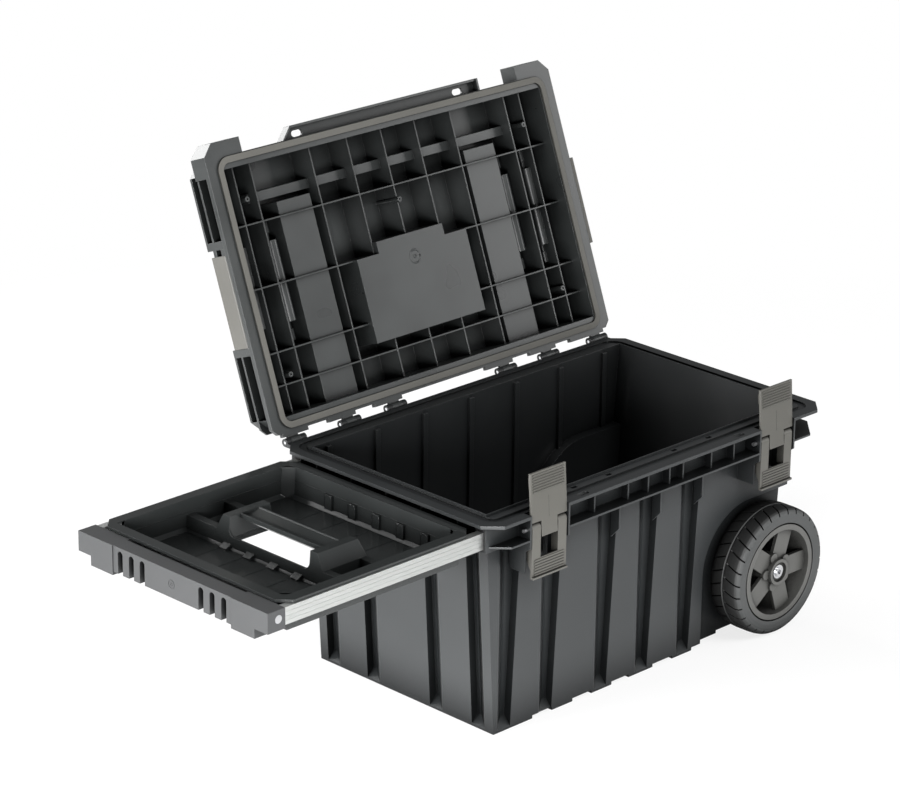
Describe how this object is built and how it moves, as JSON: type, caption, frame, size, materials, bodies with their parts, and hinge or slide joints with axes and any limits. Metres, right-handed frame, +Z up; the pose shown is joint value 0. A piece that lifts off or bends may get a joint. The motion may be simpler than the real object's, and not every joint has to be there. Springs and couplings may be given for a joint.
{
  "type": "rolling storage box",
  "caption": "Rolling jobsite storage box with a sealed hinged lid, draw latches, a pull-out rail handle, a lift-off carry tray on the rails and wheels at one end.",
  "frame": {"origin": "on the floor, under the centre of the tub", "axes": "+X along the box from the pull handle to the wheels, +Y from the latches to the lid hinge, +Z up"},
  "size_m": [0.9471, 0.5494, 0.6359],
  "materials": {
    "tub_plastic": "fine moulded grain, satin",
    "lid_plastic": "fine moulded grain, satin",
    "seal_rubber": "soft, matt",
    "clip_plastic": "satin",
    "latch_plastic": "fine grain, satin",
    "grip_plastic": "satin",
    "tray_plastic": "satin",
    "guide_plastic": "matt",
    "rail_aluminium": "satin anodised, drawn lengthwise",
    "tyre_rubber": "matt",
    "disc_plastic": "satin",
    "bush_plastic": "matt",
    "ring_steel": "bright",
    "pin_steel": "bright zinc"
  },
  "bodies": {
    "tub": {"tub": "tub_plastic", "lid_hinge_pins": "pin_steel", "latch_pivot_pins": "pin_steel", "rail_guide_front": "guide_plastic", "rail_guide_rear": "guide_plastic", "axle_front": "pin_steel", "axle_rear": "pin_steel", "axle_nuts": "pin_steel", "axle_rings": "ring_steel", "wheel_washers": "pin_steel"},
    "lid": {"lid": "lid_plastic", "lid_gasket": "seal_rubber", "stack_clip_pins": "pin_steel"},
    "clip_left": {"stack_clip_left": "clip_plastic"},
    "clip_right": {"stack_clip_right": "clip_plastic"},
    "lever_left": {"latch_lever_left": "latch_plastic", "latch_hook_pin_left": "pin_steel"},
    "lever_right": {"latch_lever_right": "latch_plastic", "latch_hook_pin_right": "pin_steel"},
    "hook_left": {"latch_hook_left": "latch_plastic"},
    "hook_right": {"latch_hook_right": "latch_plastic"},
    "pull_handle": {"handle_grip": "grip_plastic", "rail_front": "rail_aluminium", "rail_rear": "rail_aluminium", "grip_screws": "pin_steel", "rail_stop_front": "guide_plastic", "rail_stop_rear": "guide_plastic"},
    "carry_tray": {"tray": "tray_plastic"},
    "wheel_front": {"tyre_front": "tyre_rubber", "wheel_disc_front": "disc_plastic", "wheel_bush_front": "bush_plastic"},
    "wheel_rear": {"tyre_rear": "tyre_rubber", "wheel_disc_rear": "disc_plastic", "wheel_bush_rear": "bush_plastic"}
  },
  "joints": [
    {"name": "lid_hinge", "type": "hinge", "parent": "tub", "child": "lid", "pos_m": [0, 0.185, 0.285], "axis": [1, 0, 0], "range_deg": [0, 110.6]},
    {"name": "clip_left_hinge", "type": "hinge", "parent": "lid", "child": "clip_left", "pos_m": [-0.295, 0.26067, 0.4542], "axis": [0, 0.3518, 0.9361], "range_deg": [0, 90]},
    {"name": "clip_right_hinge", "type": "hinge", "parent": "lid", "child": "clip_right", "pos_m": [0.295, 0.26067, 0.4542], "axis": [0, -0.3518, -0.9361], "range_deg": [-75, 15]},
    {"name": "latch_left_lever", "type": "hinge", "parent": "tub", "child": "lever_left", "pos_m": [-0.204, -0.178, 0.266], "axis": [-1, 0, 0], "range_deg": [0, 100]},
    {"name": "latch_left_hook", "type": "hinge", "parent": "lever_left", "child": "hook_left", "pos_m": [-0.204, -0.177, 0.256], "axis": [-1, 0, 0], "range_deg": [-100, 0]},
    {"name": "latch_right_lever", "type": "hinge", "parent": "tub", "child": "lever_right", "pos_m": [0.204, -0.178, 0.266], "axis": [-1, 0, 0], "range_deg": [0, 100]},
    {"name": "latch_right_hook", "type": "hinge", "parent": "lever_right", "child": "hook_right", "pos_m": [0.204, -0.177, 0.256], "axis": [-1, 0, 0], "range_deg": [-100, 0]},
    {"name": "handle_slide", "type": "slide", "parent": "tub", "child": "pull_handle", "axis": [1, 0, 0], "range_m": [0, 0.297]},
    {"name": "tray_lift", "type": "slide", "parent": "tub", "child": "carry_tray", "axis": [0, 0, 1], "range_m": [0, 0.891]},
    {"name": "wheel_front_spin", "type": "hinge", "parent": "tub", "child": "wheel_front", "pos_m": [0.2135, -0.168, 0.0844], "axis": [0, 1, 0], "continuous": true},
    {"name": "wheel_rear_spin", "type": "hinge", "parent": "tub", "child": "wheel_rear", "pos_m": [0.2135, 0.168, 0.0844], "axis": [0, 1, 0], "continuous": true}
  ],
  "couplings": [
    {"joint": "tray_lift", "follows": "handle_slide", "ratio": 3},
    {"joint": "latch_left_hook", "follows": "latch_left_lever", "ratio": -1},
    {"joint": "latch_right_hook", "follows": "latch_right_lever", "ratio": -1}
  ]
}
